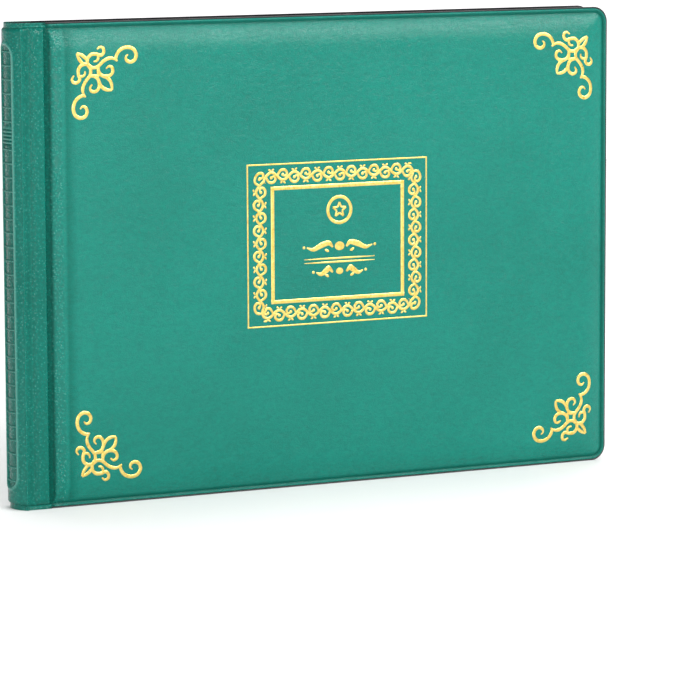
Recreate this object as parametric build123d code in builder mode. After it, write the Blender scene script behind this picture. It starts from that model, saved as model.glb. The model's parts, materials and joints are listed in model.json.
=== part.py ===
from build123d import *
import os

# Coin album: two padded, welded covers hinged to a rounded spine, with ten pocket
# leaves between them in two packs of five. It stands upright and closed.
# X runs from the spine to the fore-edge, the front cover faces -Y, and Z is up.
# The origin is under the middle of the album. Sizes are in millimetres.

FRONT = -1
BACK = 1

# ---- Whole album ----
HEIGHT = 180.0
WIDTH = 253.0
THICKNESS = 18.0

# ---- Covers, whose layers lie between two distances from the mid-plane ----
COVER_WIDTH = 239.6
COVER_CORNER = 6.0
COVER_EDGE_ROUND = 1.2
SKIN = 0.6
FOAM = 0.9
BOARD = 1.2
LINING = 0.3
WELD_RIM = 1.6
FOAM_CLEARANCE = 0.1

FORE_EDGE = WIDTH / 2
COVER_START = FORE_EDGE - COVER_WIDTH
COVER_OUTER = THICKNESS / 2
FOAM_OUTER = COVER_OUTER - SKIN
BOARD_OUTER = FOAM_OUTER - FOAM
LINING_OUTER = BOARD_OUTER - BOARD
COVER_INNER = LINING_OUTER - LINING

# ---- Cover hinges: a soft strip on each side of the spine ----
HINGE_X = -117.4
HINGE_DISTANCE = 7.5
STRIP = 1.0
STRIP_GAP = 0.8
STRIP_OUTER = HINGE_DISTANCE + STRIP / 2
STRIP_INNER = HINGE_DISTANCE - STRIP / 2

# ---- Spine ----
SPINE_BULGE = 3.6
SPINE_SKIN = 0.8
SPINE_FOAM_CLEARANCE = 0.04
SPINE_BOARD = 1.2
SPINE_BOARD_WIDTH = 13.0
SPINE_LINING = 0.4
SPINE_LINING_WIDTH = 13.8
SPINE_END = 5.0
SPINE_BACK = -WIDTH / 2
SHOULDER_X = SPINE_BACK + SPINE_BULGE
SPINE_RADIUS = (STRIP_OUTER**2 + SPINE_BULGE**2) / (2 * SPINE_BULGE)
SPINE_CENTRE_X = SPINE_BACK + SPINE_RADIUS
SPINE_BOARD_X = SHOULDER_X + 0.3
SPINE_FOAM_X = SPINE_BOARD_X - SPINE_FOAM_CLEARANCE
SPINE_LINING_X = SPINE_BOARD_X + SPINE_BOARD
BINDING_X = SPINE_LINING_X + SPINE_LINING

# ---- Leaves: sheet, clear pocket film and smoked flaps ----
LEAVES_PER_PACK = 5
LEAF_HEIGHT = 170.0
LEAF_REACH = 229.0
LEAF_CORNER = 3.0
LEAF_BOTTOM = (HEIGHT - LEAF_HEIGHT) / 2
SHEET = 0.25
FILM = 0.12
FLAP = 0.08
LEAF_STEP_Y = 0.8
LEAF_STEP_X = 0.9
FIRST_LEAF_X = -115.3
FIRST_LEAF_DISTANCE = 5.475
LEAF_ROOT = 0.4
BINDING_GAP = 0.8

# ---- Pockets ----
FIELD_START = 9.0
FIELD_END = 226.0
FIELD_BOTTOM = 7.5
FIELD_TOP = 172.5
FILM_MARGIN = 1.0
SMALL = {"columns": 6, "rows": 4, "gap": 4.8, "coin": 29.0, "seam": 3.0, "taper": 9.0}
LARGE = {"columns": 4, "rows": 3, "gap": 8.0, "coin": 42.5, "seam": 2.0, "taper": 15.0}
FLAP_HEIGHT = 13.0
SEAM_HEIGHT = 1.6
SEAM_END_GAP = 0.5
COIN = 1.5
COIN_BAY = 1.6
COIN_EDGE_ROUND = 0.2

# ---- Gold foil lines round the title panel on the front cover ----
FOIL = 0.05
FOIL_CENTRE = (5.9, 93.6)
FOIL_FRAMES = [(77.0, 62.0, 0.5), (57.0, 44.6, 1.4)]

os.makedirs("parts", exist_ok=True)


def finish(piece, label):
    """Label a finished piece and write its STEP file."""
    piece.part.label = label
    export_step(piece.part, f"parts/{label}.step")


def layer(side, near, far):
    """Upright plane from which a plate between two distances is extruded."""
    return Plane.XZ.offset(near if side == FRONT else -far)


def band(side, near, far):
    """Lowest and highest Y of a layer between two distances from the mid-plane."""
    return sorted((side * near, side * far))


def rectangle(left, right, bottom, top):
    """Rectangle between two corners, drawn in the active sketch."""
    with Locations(((left + right) / 2, (bottom + top) / 2)):
        Rectangle(right - left, top - bottom)


def cover_outline(inset):
    """Cover outline, rounded at the fore-edge and shrunk by inset on each side."""
    left = COVER_START + inset
    right = FORE_EDGE - inset
    with Locations(((left + right) / 2, HEIGHT / 2)):
        RectangleRounded(right - left, HEIGHT - 2 * inset, COVER_CORNER - inset)
    rectangle(left, (left + right) / 2, inset, HEIGHT - inset)


def make_cover(name, side):
    """One cover: leathercloth skin with a hinge flange, foam, board and lining."""
    outer_face = 0 if side == FRONT else -1
    with BuildPart() as skin:
        with BuildSketch(layer(side, LINING_OUTER, COVER_OUTER)):
            cover_outline(0)
        extrude(amount=COVER_OUTER - LINING_OUTER)
        fillet(skin.faces().sort_by(Axis.Y)[outer_face].edges(), radius=COVER_EDGE_ROUND)
        with BuildSketch(layer(side, LINING_OUTER, FOAM_OUTER)):
            cover_outline(WELD_RIM)
        extrude(amount=FOAM_OUTER - LINING_OUTER, mode=Mode.SUBTRACT)
        with BuildSketch(layer(side, STRIP_INNER, STRIP_OUTER)):
            rectangle(HINGE_X + STRIP_GAP, COVER_START + WELD_RIM / 2, 0, HEIGHT)
        extrude(amount=STRIP)
    finish(skin, f"{name}_cover_skin")

    with BuildPart() as foam:
        with BuildSketch(layer(side, BOARD_OUTER, FOAM_OUTER)):
            cover_outline(WELD_RIM + FOAM_CLEARANCE)
        extrude(amount=FOAM)
    finish(foam, f"{name}_cover_foam")

    with BuildPart() as board:
        with BuildSketch(layer(side, LINING_OUTER, BOARD_OUTER)):
            cover_outline(WELD_RIM + FOAM_CLEARANCE)
        extrude(amount=BOARD)
    finish(board, f"{name}_cover_board")

    with BuildPart() as lining:
        with BuildSketch(layer(side, COVER_INNER, LINING_OUTER)):
            cover_outline(0)
        extrude(amount=LINING)
    finish(lining, f"{name}_cover_lining")


def make_hinge_strip(name, side):
    """Soft strip between the spine's shoulder and the cover's flange."""
    with BuildPart() as strip:
        with BuildSketch(layer(side, STRIP_INNER, STRIP_OUTER)):
            rectangle(SHOULDER_X, HINGE_X - STRIP_GAP, 0, HEIGHT)
        extrude(amount=STRIP)
    finish(strip, f"{name}_hinge_strip")


def make_binding(name, side):
    """Stepped strip of five leaf roots welded together, one step for each leaf."""
    with BuildPart() as binding:
        with BuildSketch(Plane.XY.offset(LEAF_BOTTOM)):
            for order in range(LEAVES_PER_PACK):
                distance = FIRST_LEAF_DISTANCE - order * LEAF_STEP_Y
                tip = FIRST_LEAF_X + order * LEAF_STEP_X - BINDING_GAP
                low, high = band(side, distance - LEAF_STEP_Y / 2, distance + LEAF_STEP_Y / 2)
                rectangle(BINDING_X, tip, low, high)
        extrude(amount=LEAF_HEIGHT)
    finish(binding, f"{name}_leaf_binding")


def pocket_cells(grid, root):
    """Left, right, bottom and top of each pocket in a leaf whose hinge is at root."""
    column = (FIELD_END - FIELD_START) / grid["columns"]
    row = (FIELD_TOP - FIELD_BOTTOM + grid["gap"]) / grid["rows"]
    for i in range(grid["columns"]):
        for j in range(grid["rows"]):
            left = root + FIELD_START + i * column
            bottom = FIELD_BOTTOM + j * row
            yield left, left + column, bottom, bottom + row - grid["gap"]


def make_leaf(number, side, order, grid, filled):
    """One leaf; the flaps hang over the pockets on the face towards the middle."""
    name = f"leaf_{number:02d}"
    root = FIRST_LEAF_X + order * LEAF_STEP_X
    sheet_outer = FIRST_LEAF_DISTANCE - order * LEAF_STEP_Y + SHEET / 2
    sheet_inner = sheet_outer - SHEET
    film_outer = sheet_inner - (COIN_BAY if filled else 0)
    film_inner = film_outer - FILM

    with BuildPart() as sheet:
        with BuildSketch(layer(side, sheet_inner, sheet_outer)):
            left = root + LEAF_ROOT
            right = root + LEAF_REACH
            with Locations(((left + right) / 2, HEIGHT / 2)):
                RectangleRounded(right - left, LEAF_HEIGHT, LEAF_CORNER)
        extrude(amount=SHEET)
    finish(sheet, f"{name}_sheet")

    with BuildPart() as film:
        with BuildSketch(layer(side, film_inner, film_outer)):
            left = root + FIELD_START - FILM_MARGIN
            right = root + FIELD_END + FILM_MARGIN
            rectangle(left, right, FIELD_BOTTOM - FILM_MARGIN, FIELD_TOP + FILM_MARGIN)
        extrude(amount=FILM)
    finish(film, f"{name}_pocket_film")

    with BuildPart() as flaps:
        with BuildSketch(layer(side, film_inner - FLAP, film_inner)):
            for left, right, bottom, top in pocket_cells(grid, root):
                half = (right - left - grid["seam"]) / 2
                tip = half - grid["taper"] / 2
                middle = (left + right) / 2
                low = top - FLAP_HEIGHT
                corners = [(middle - half, top), (middle + half, top), (middle + tip, low), (middle - tip, low)]
                with BuildLine():
                    Polyline(corners, close=True)
                make_face()
        extrude(amount=FLAP)
    finish(flaps, f"{name}_flaps")

    if filled:
        make_seams(name, side, grid, root, film_outer, sheet_inner)
        make_coins(side, grid, root, sheet_inner)


def make_seams(name, side, grid, root, near, far):
    """Weld lines under and between the pockets, as deep as the coins are thick."""
    half = grid["seam"] / 2
    with BuildPart() as seams:
        with BuildSketch(layer(side, near, far)):
            for left, right, bottom, top in pocket_cells(grid, root):
                rectangle(left + half, right - half, bottom, bottom + SEAM_HEIGHT)
                if left > root + FIELD_START + half:
                    start = bottom + SEAM_HEIGHT + SEAM_END_GAP
                    rectangle(left - half / 2, left + half / 2, start, top)
        extrude(amount=far - near)
    finish(seams, f"{name}_seams")


def make_coins(side, grid, root, sheet_inner):
    """One coin in the middle of each pocket of a leaf."""
    near = sheet_inner - (COIN_BAY + COIN) / 2
    with BuildPart() as coins:
        with BuildSketch(layer(side, near, near + COIN)):
            for left, right, bottom, top in pocket_cells(grid, root):
                with Locations(((left + right) / 2, (bottom + top) / 2)):
                    Circle(grid["coin"] / 2)
        extrude(amount=COIN)
        fillet(coins.edges().filter_by(GeomType.CIRCLE), radius=COIN_EDGE_ROUND)
    finish(coins, "small_coins" if grid is SMALL else "large_coins")


for cover_name, cover_side in (("front", FRONT), ("back", BACK)):
    make_cover(cover_name, cover_side)
    make_hinge_strip(cover_name, cover_side)
    make_binding(cover_name, cover_side)

# Foil lines lie on the front cover's face, as four bars round each frame.
with BuildPart() as foil:
    with BuildSketch(layer(FRONT, COVER_OUTER, COVER_OUTER + FOIL)):
        centre_x, centre_z = FOIL_CENTRE
        for frame_width, frame_height, line in FOIL_FRAMES:
            half_width = frame_width / 2
            half_height = frame_height / 2
            for sign in (-1, 1):
                across = sorted((sign * half_height, sign * (half_height - line)))
                rectangle(centre_x - half_width, centre_x + half_width,
                          centre_z + across[0], centre_z + across[1])
                upright = sorted((sign * half_width, sign * (half_width - line)))
                rectangle(centre_x + upright[0], centre_x + upright[1],
                          centre_z - half_height + 2 * line, centre_z + half_height - 2 * line)
    extrude(amount=FOIL)
finish(foil, "front_cover_foil")

# The spine's skin is part of a round tube, over foam and a flat board that stop short
# of its ends, where the skin and the lining are welded together.
with BuildPart() as spine_skin:
    with BuildSketch(Plane.XY):
        with Locations((SPINE_CENTRE_X, 0)):
            Circle(SPINE_RADIUS)
            Circle(SPINE_RADIUS - SPINE_SKIN, mode=Mode.SUBTRACT)
        with Locations((SHOULDER_X - SPINE_RADIUS, 0)):
            Rectangle(2 * SPINE_RADIUS, 2 * STRIP_OUTER, mode=Mode.INTERSECT)
    extrude(amount=HEIGHT)
finish(spine_skin, "spine_skin")

with BuildPart() as spine_foam:
    with BuildSketch(Plane.XY.offset(SPINE_END)):
        with Locations((SPINE_CENTRE_X, 0)):
            Circle(SPINE_RADIUS - SPINE_SKIN - SPINE_FOAM_CLEARANCE)
        with Locations((SPINE_FOAM_X - SPINE_RADIUS, 0)):
            Rectangle(2 * SPINE_RADIUS, SPINE_BOARD_WIDTH, mode=Mode.INTERSECT)
    extrude(amount=HEIGHT - 2 * SPINE_END)
finish(spine_foam, "spine_foam")

with BuildPart() as spine_board:
    with BuildSketch(Plane.XY.offset(SPINE_END)):
        half_board = SPINE_BOARD_WIDTH / 2
        rectangle(SPINE_BOARD_X, SPINE_LINING_X, -half_board, half_board)
    extrude(amount=HEIGHT - 2 * SPINE_END)
finish(spine_board, "spine_board")

with BuildPart() as spine_lining:
    with BuildSketch(Plane.XY):
        half_lining = SPINE_LINING_WIDTH / 2
        rectangle(SPINE_LINING_X, BINDING_X, -half_lining, half_lining)
    extrude(amount=HEIGHT)
finish(spine_lining, "spine_lining")

# Leaves 1 to 5 belong to the front pack and 6 to 10 to the back pack. The two leaves
# that face each other in the middle hold the coins.
for order in range(LEAVES_PER_PACK):
    is_facing = order == LEAVES_PER_PACK - 1
    make_leaf(order + 1, FRONT, order, SMALL, is_facing)
    make_leaf(2 * LEAVES_PER_PACK - order, BACK, order, LARGE, is_facing)
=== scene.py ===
import json
import math

import bmesh
import bpy
import numpy as np
from mathutils import Matrix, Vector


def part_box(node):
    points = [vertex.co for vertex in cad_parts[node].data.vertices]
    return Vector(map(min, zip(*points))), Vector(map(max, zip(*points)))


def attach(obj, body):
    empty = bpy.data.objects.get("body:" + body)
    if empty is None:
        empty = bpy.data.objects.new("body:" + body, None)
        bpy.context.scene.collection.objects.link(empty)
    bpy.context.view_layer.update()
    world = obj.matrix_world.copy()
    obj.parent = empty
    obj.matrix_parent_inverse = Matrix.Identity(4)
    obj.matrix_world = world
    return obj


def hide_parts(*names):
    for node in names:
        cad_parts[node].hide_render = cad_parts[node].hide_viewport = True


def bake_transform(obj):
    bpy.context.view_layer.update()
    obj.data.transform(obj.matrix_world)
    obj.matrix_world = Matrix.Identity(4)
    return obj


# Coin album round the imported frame. Shapes are worked out in millimetres and turned
# into metres as each mesh is made. "Distance" is always measured from the mid-plane
# between the covers, so the same code builds the front (side -1) and back (side 1).

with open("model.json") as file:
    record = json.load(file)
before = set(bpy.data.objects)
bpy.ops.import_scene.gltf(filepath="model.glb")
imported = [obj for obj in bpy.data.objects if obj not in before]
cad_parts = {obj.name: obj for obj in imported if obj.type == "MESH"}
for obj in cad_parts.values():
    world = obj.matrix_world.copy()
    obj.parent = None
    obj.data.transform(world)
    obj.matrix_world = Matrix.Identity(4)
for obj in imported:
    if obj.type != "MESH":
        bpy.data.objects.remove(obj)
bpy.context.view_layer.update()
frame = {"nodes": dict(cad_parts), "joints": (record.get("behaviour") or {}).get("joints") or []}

MM = 0.001
FRONT, BACK = -1, 1


def node_box(node):
    """Lowest and highest corner of a CAD node, in millimetres."""
    low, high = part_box(node)
    return np.array(low) / MM, np.array(high) / MM


# ---- Sizes read from the frame ----
lining_low, lining_high = node_box("front_cover_lining")
COVER_START, FORE_EDGE = lining_low[0], lining_high[0]
HEIGHT = lining_high[2]
COVER_INNER = -lining_high[1]
LINING_OUTER = -lining_low[1]
COVER_OUTER = -node_box("front_cover_skin")[0][1]
spine_low, spine_high = node_box("spine_skin")
SHOULDER_X = spine_high[0]
SHOULDER = spine_high[1]
SPINE_BULGE = spine_high[0] - spine_low[0]
SPINE_RADIUS = (SHOULDER**2 + SPINE_BULGE**2) / (2 * SPINE_BULGE)
SPINE_CENTRE_X = spine_low[0] + SPINE_RADIUS
STRIP_INNER = -node_box("front_hinge_strip")[1][1]
HINGES = {joint["child"]: np.array(joint["pos_m"]) / MM for joint in frame["joints"]}
spine_lining_low, spine_lining_high = node_box("spine_lining")
BINDING_X = spine_lining_high[0]

# ---- Cover form. Levels and tops are distances from the mid-plane. ----
COVER_CORNER = 6.0
BLACK_BEAD = 0.55  # lining seen round the outline
BEAD_RADIUS = 0.45
BEAD_FOOT = 6.45
BEAD_TOP = 7.15
SEAM_LEVEL = 6.65  # welded seam between the bead and the padding
SEAM_END = 1.8
PADDED_EDGE = 10.0  # width over which the padding rises
GROOVE_LEVEL = 7.2
GROOVE_SHIFT = 1.3
BAND_WIDTH = 5.6  # pebbled band beside the deep groove
CROWN = 0.45
SLIP = 0.02  # gap between skin and lining
SKIN = 0.45
FOAM_INSET, FOAM_INNER, FOAM_TOP = 7.4, 7.52, 8.35
BOARD_INSET, BOARD_TOP = 2.8, 7.48

# ---- Pocket layout, as on the leaves of the frame ----
FIELD_START, FIELD_END = 9.0, 226.0
FIELD_BOTTOM, FIELD_TOP = 7.5, 172.5
SMALL = {"columns": 6, "rows": 4, "gap": 4.8, "coin": 14.5, "seam": 3.0, "taper": 9.0}
LARGE = {"columns": 4, "rows": 3, "gap": 8.0, "coin": 21.25, "seam": 2.0, "taper": 15.0}
FLAP_HEIGHT = 13.0
COIN_BAY = 1.6
COIN_UNDER, COIN_FIELD, COIN_STRIKE = 0.06, 1.22, 0.28
WELD_WIDTH = 1.3
KNURL_HEIGHT = 0.28
RAIL_HEIGHT = 0.30
FILM_STEP = 1.45


# ======================= Mesh helpers =======================

def add_mesh(name, verts, faces, material, sharp=50.0):
    """Object made from points in millimetres, with outward normals."""
    mesh = bpy.data.meshes.new(name)
    mesh.from_pydata((np.asarray(verts, float) * MM).tolist(), [], [list(f) for f in faces])
    build = bmesh.new()
    build.from_mesh(mesh)
    bmesh.ops.recalc_face_normals(build, faces=build.faces)
    build.to_mesh(mesh)
    build.free()
    mesh.polygons.foreach_set("use_smooth", [True] * len(mesh.polygons))
    mesh.set_sharp_from_angle(angle=math.radians(sharp))
    mesh.materials.append(material)
    piece = bpy.data.objects.new(name, mesh)
    bpy.context.scene.collection.objects.link(piece)
    return piece


def store_painted_shade_and_highlight(piece, outer_shade_and_highlight):
    """Store the painted shade of each outer point as a crease attribute, heaviest in creases, seams and
    grooves (below 0: painted highlight); inner points get 0.
    """
    tones = np.zeros(len(piece.data.vertices), np.float32)
    tones[:outer_shade_and_highlight.size] = outer_shade_and_highlight.reshape(-1)
    attribute = piece.data.attributes.new("crease", "FLOAT", "POINT")
    attribute.data.foreach_set("value", tones)


def ridge(x, middle, half_width):
    """Soft bump of height 1 about a middle."""
    return np.exp(-(((x - middle) / half_width) ** 2))


def grid_of(first, second):
    return np.meshgrid(first, second, indexing="ij")


def from_end(z):
    """Distance from the nearer of the album's top and bottom ends."""
    return np.minimum(z, HEIGHT - z)


def grid_solid(front, back):
    """Closed solid between two grids of points of the same shape."""
    rows, columns = front.shape[:2]
    index = np.arange(rows * columns).reshape(rows, columns)
    count = rows * columns
    quads = np.stack([index[:-1, :-1], index[1:, :-1], index[1:, 1:], index[:-1, 1:]], -1).reshape(-1, 4)
    border = np.concatenate([index[:-1, 0], index[-1, :-1], index[:0:-1, -1], index[0, :0:-1]])
    following = np.roll(border, -1)
    sides = np.stack([border, following, following + count, border + count], -1)
    verts = np.concatenate([front.reshape(-1, 3), back.reshape(-1, 3)])
    faces = np.concatenate([quads, quads[:, ::-1] + count, sides])
    return verts, faces


def tube(rings):
    """Points and faces of a closed tube from a row of rings."""
    count, sides = rings.shape[:2]
    index = np.arange(count * sides).reshape(count, sides)
    beside = np.roll(index, -1, axis=1)
    faces = np.stack([index[:-1], beside[:-1], beside[1:], index[1:]], -1).reshape(-1, 4).tolist()
    faces += [index[0][::-1].tolist(), index[-1].tolist()]
    return rings.reshape(-1, 3), faces


def lines(start, end, start_zone, end_zone, step, count=22):
    """Rising positions from start to end, close together in a zone at each end."""
    near = [start + start_zone * (k / count) ** 1.7 for k in range(count)]
    far = [end - end_zone * (k / count) ** 1.7 for k in range(count)][::-1]
    middle_start, middle_end = start + start_zone, end - end_zone
    segments = max(1, int(round((middle_end - middle_start) / step)))
    middle = np.linspace(middle_start, middle_end, segments + 1)
    return np.unique(np.round(np.concatenate([near, middle, far]), 6))


def unit(t):
    return np.clip(t, 0, 1)


def smooth_step(t):
    """Eased rise from 0 to 1 as t goes from 0 to 1."""
    t = unit(t)
    return t * t * (3 - 2 * t)


class Pile:
    """Many small closed solids gathered into one mesh."""

    def __init__(self):
        self.verts, self.faces = [], []

    def add(self, verts, faces):
        start = len(self.verts)
        self.verts.extend(np.asarray(verts, float).tolist())
        self.faces.extend([[int(i) + start for i in face] for face in faces])


# ======================= Materials =======================

class Shader:
    """A node material with one Principled shader, built step by step."""

    def __init__(self, name, **values):
        self.material = bpy.data.materials.new(name)
        self.material.use_nodes = True
        self.tree = self.material.node_tree
        self.bsdf = self.tree.nodes["Principled BSDF"]
        for key, value in values.items():
            self.bsdf.inputs[key.replace("_", " ")].default_value = value
        coordinates = self.node("ShaderNodeTexCoord")
        mapping = self.node("ShaderNodeMapping")
        mapping.inputs["Scale"].default_value = (1000, 1000, 1000)
        self.link(coordinates.outputs["Object"], mapping.inputs["Vector"])
        self.position = mapping.outputs["Vector"]

    def node(self, kind, **values):
        node = self.tree.nodes.new(kind)
        for key, value in values.items():
            setattr(node, key, value)
        return node

    def link(self, output, socket):
        self.tree.links.new(output, socket)

    def attribute(self, name):
        return self.node("ShaderNodeAttribute", attribute_name=name).outputs["Fac"]

    def noise(self, scale, detail, roughness, distortion=0.0, stretch=None):
        node = self.node("ShaderNodeTexNoise")
        node.inputs["Scale"].default_value = scale
        node.inputs["Detail"].default_value = detail
        node.inputs["Roughness"].default_value = roughness
        node.inputs["Distortion"].default_value = distortion
        self.link(self.stretched(stretch), node.inputs["Vector"])
        return node.outputs["Fac"]

    def cells(self, scale, feature="DISTANCE_TO_EDGE", stretch=None, warp=0.4):
        """Voronoi cells whose places are pushed about by noise."""
        node = self.node("ShaderNodeTexVoronoi", feature=feature)
        node.inputs["Scale"].default_value = scale
        vector = self.stretched(stretch)
        bend = self.node("ShaderNodeTexNoise")
        bend.inputs["Scale"].default_value = scale * 0.7
        self.link(vector, bend.inputs["Vector"])
        mix = self.node("ShaderNodeMix", data_type="VECTOR")
        mix.inputs["Factor"].default_value = warp
        self.link(vector, mix.inputs["A"])
        pushed = self.node("ShaderNodeVectorMath", operation="ADD")
        self.link(vector, pushed.inputs[0])
        self.link(bend.outputs["Color"], pushed.inputs[1])
        self.link(pushed.outputs[0], mix.inputs["B"])
        self.link(mix.outputs["Result"], node.inputs["Vector"])
        return node.outputs["Distance"]

    def stretched(self, stretch):
        """Position, or position scaled and turned (degrees about y) by stretch."""
        if stretch is None:
            return self.position
        mapping = self.node("ShaderNodeMapping")
        mapping.inputs["Rotation"].default_value = (0, math.radians(stretch[1]), 0)
        mapping.inputs["Scale"].default_value = (stretch[0], 1, 1)
        self.link(self.position, mapping.inputs["Vector"])
        return mapping.outputs["Vector"]

    def remap(self, value, low, high, to_low=0.0, to_high=1.0):
        node = self.node("ShaderNodeMapRange")
        for key, number in (("From Min", low), ("From Max", high), ("To Min", to_low), ("To Max", to_high)):
            node.inputs[key].default_value = number
        self.link(value, node.inputs["Value"])
        return node.outputs["Result"]

    def feed(self, socket, value):
        """Set a socket to a number, or link an output to it."""
        if isinstance(value, (int, float)):
            socket.default_value = value
        else:
            self.link(value, socket)

    def math(self, operation, a, b=0.0):
        node = self.node("ShaderNodeMath", operation=operation)
        self.feed(node.inputs[0], a)
        self.feed(node.inputs[1], b)
        return node.outputs["Value"]

    def add(self, a, b):
        return self.math("ADD", a, b)

    def times(self, a, b):
        return self.math("MULTIPLY", a, b)

    def blend(self, factor, a, b):
        """Mix of two numbers or outputs by a factor."""
        node = self.node("ShaderNodeMix", data_type="FLOAT")
        for key, value in (("Factor", factor), ("A", a), ("B", b)):
            self.feed(node.inputs[key], value)
        return node.outputs["Result"]

    def colours(self, factor, *stops):
        """Colour ramp from (position, colour) stops."""
        ramp = self.node("ShaderNodeValToRGB")
        elements = ramp.color_ramp.elements
        while len(elements) < len(stops):
            elements.new(0.5)
        for element, (position, colour) in zip(elements, stops):
            element.position = position
            element.color = (*colour, 1)
        self.link(factor, ramp.inputs["Fac"])
        return ramp.outputs["Color"]

    def tint(self, factor, colour, shade, mode="MULTIPLY"):
        """Colour output multiplied by, or mixed with, a shade by a factor output."""
        mix = self.node("ShaderNodeMix", data_type="RGBA", blend_type=mode)
        self.link(factor, mix.inputs["Factor"])
        self.link(colour, mix.inputs["A"])
        mix.inputs["B"].default_value = (*shade, 1)
        return mix.outputs["Result"]

    def bump(self, height, distance, strength=1.0):
        node = self.node("ShaderNodeBump")
        node.inputs["Strength"].default_value = strength
        node.inputs["Distance"].default_value = distance * MM
        self.link(height, node.inputs["Height"])
        return node.outputs["Normal"]

    def use(self, **outputs):
        """Link outputs to the Principled shader's sockets; the finished material."""
        for key, output in outputs.items():
            self.link(output, self.bsdf.inputs[key.replace("_", " ")])
        return self.material


GREEN = (0.001, 0.163, 0.122)
GREEN_LIGHT = (0.002, 0.190, 0.144)


def leathercloth(name, coarse=None):
    """Green vinyl with a pressed leather grain. coarse is the share of pebble grain;
    without it the band beside the hinge is pebbled and the rest is fine."""
    shader = Shader(name)
    fine_cells = shader.remap(shader.cells(1.7, stretch=(0.7, 28)), 0.0, 0.22)
    creases = shader.remap(shader.noise(0.6, 4, 0.55, 1.2, stretch=(0.4, -35)), 0.36, 0.66)
    fine = shader.add(shader.times(fine_cells, 0.55), shader.times(creases, 0.6))
    drawn = shader.math("ABSOLUTE", shader.math("SUBTRACT", shader.noise(0.30, 5, 0.6, 2.2), 0.5))
    fine = shader.add(fine, shader.times(shader.remap(drawn, 0.0, 0.07), 0.45))
    pebbles = shader.remap(shader.cells(0.92, "F1", warp=0.2), 0.05, 0.6, 1.0, 0.0)
    pores = shader.noise(3.2, 3, 0.6)
    if coarse is None:
        parts = shader.node("ShaderNodeSeparateXYZ")
        shader.link(shader.position, parts.inputs[0])
        band_end = COVER_START + BAND_WIDTH
        coarse = shader.remap(parts.outputs["X"], band_end - 0.3, band_end + 0.3, 0.95, 0.0)
    grain = shader.blend(coarse, fine, shader.times(pebbles, 2.8))
    height = shader.add(grain, shader.times(pores, 0.2))

    colour = shader.colours(shader.noise(0.018, 3, 0.5), (0.3, GREEN), (0.7, GREEN_LIGHT))
    # Painted shade: the valleys of the grain are darkened.
    grain_valley_shade = shader.remap(grain, 0.1, 1.1, 0.50, 0.0)
    colour = shader.tint(grain_valley_shade, colour, (0.45, 0.62, 0.62))
    mottle = shader.remap(shader.noise(0.95, 3, 0.6, stretch=(0.6, -35)), 0.40, 0.62, 0.34, 0.0)
    colour = shader.tint(mottle, colour, (0.55, 0.74, 0.74))
    # Painted highlight: the tops of the pebbles are lightened.
    tops = shader.times(shader.remap(pebbles, 0.72, 0.95, 0.0, 0.34), coarse)
    colour = shader.tint(tops, colour, (0.20, 0.48, 0.42), "MIX")
    # The crease attribute carries painted light: below 0 a painted highlight on the spine's rail and ribs,
    # above 0 painted shade in seams, grooves and the sunken panel.
    tone = shader.attribute("crease")
    painted_highlight = shader.remap(tone, -1.0, 0.0, 0.5, 0.0)
    colour = shader.tint(painted_highlight, colour, (0.20, 0.52, 0.45), "MIX")
    # Painted shade where the crease attribute is above 0.
    colour = shader.tint(tone, colour, (0.10, 0.38, 0.36))
    shine = shader.remap(tone, 0.0, 1.0, 0.25, 0.04)
    gloss = shader.remap(grain, 0.2, 2.0, 0.26, 0.16)
    normal = shader.bump(height, 0.05)
    return shader.use(Base_Color=colour, Roughness=gloss, Specular_IOR_Level=shine, Normal=normal)


def black_vinyl(name, level, roughness, grain=0.5):
    """Black vinyl with a soft sheen and a fine grain."""
    shader = Shader(name, Specular_IOR_Level=0.45)
    cells = shader.remap(shader.cells(1.4), 0.0, 0.2)
    haze = shader.noise(0.05, 4, 0.6)
    dark = (level, level, level * 1.08)
    light = (level * 2.0, level * 2.0, level * 2.15)
    colour = shader.colours(haze, (0.35, dark), (0.7, light))
    gloss = shader.remap(shader.noise(0.3, 5, 0.6), 0.3, 0.7, roughness - 0.08, roughness + 0.08)
    normal = shader.bump(cells, 0.06, grain)
    return shader.use(Base_Color=colour, Roughness=gloss, Normal=normal)


def foil_gold():
    """Hot-pressed gold foil that takes up the leather grain beneath it."""
    shader = Shader("gold_foil", Metallic=0.75, Specular_IOR_Level=0.5)
    wear = shader.noise(0.8, 5, 0.65)
    stops = (0.28, (0.52, 0.31, 0.05)), (0.42, (0.70, 0.50, 0.11)), (0.66, (0.79, 0.61, 0.19))
    colour = shader.colours(wear, *stops)
    gloss = shader.remap(shader.noise(2.2, 4, 0.6), 0.3, 0.7, 0.22, 0.42)
    normal = shader.bump(shader.cells(1.15), 0.05, 0.5)
    return shader.use(Base_Color=colour, Roughness=gloss, Normal=normal)


def coin_gold(name, deep, mid, bright):
    """Struck alloy with painted shade in its recesses; the relief height is a mesh attribute."""
    shader = Shader(name, Metallic=1.0)
    # Painted shade: the colour darkens lower in the relief.
    colour = shader.colours(shader.attribute("relief"), (0.0, deep), (0.45, mid), (1.0, bright))
    tarnish = shader.remap(shader.noise(0.35, 5, 0.6), 0.5, 0.75, 0.0, 0.35)
    colour = shader.tint(tarnish, colour, (0.85, 0.62, 0.38))
    gloss = shader.remap(shader.noise(1.8, 4, 0.6), 0.3, 0.7, 0.24, 0.40)
    normal = shader.bump(shader.noise(5.0, 3, 0.6), 0.03, 0.4)
    return shader.use(Base_Color=colour, Roughness=gloss, Normal=normal)


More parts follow.
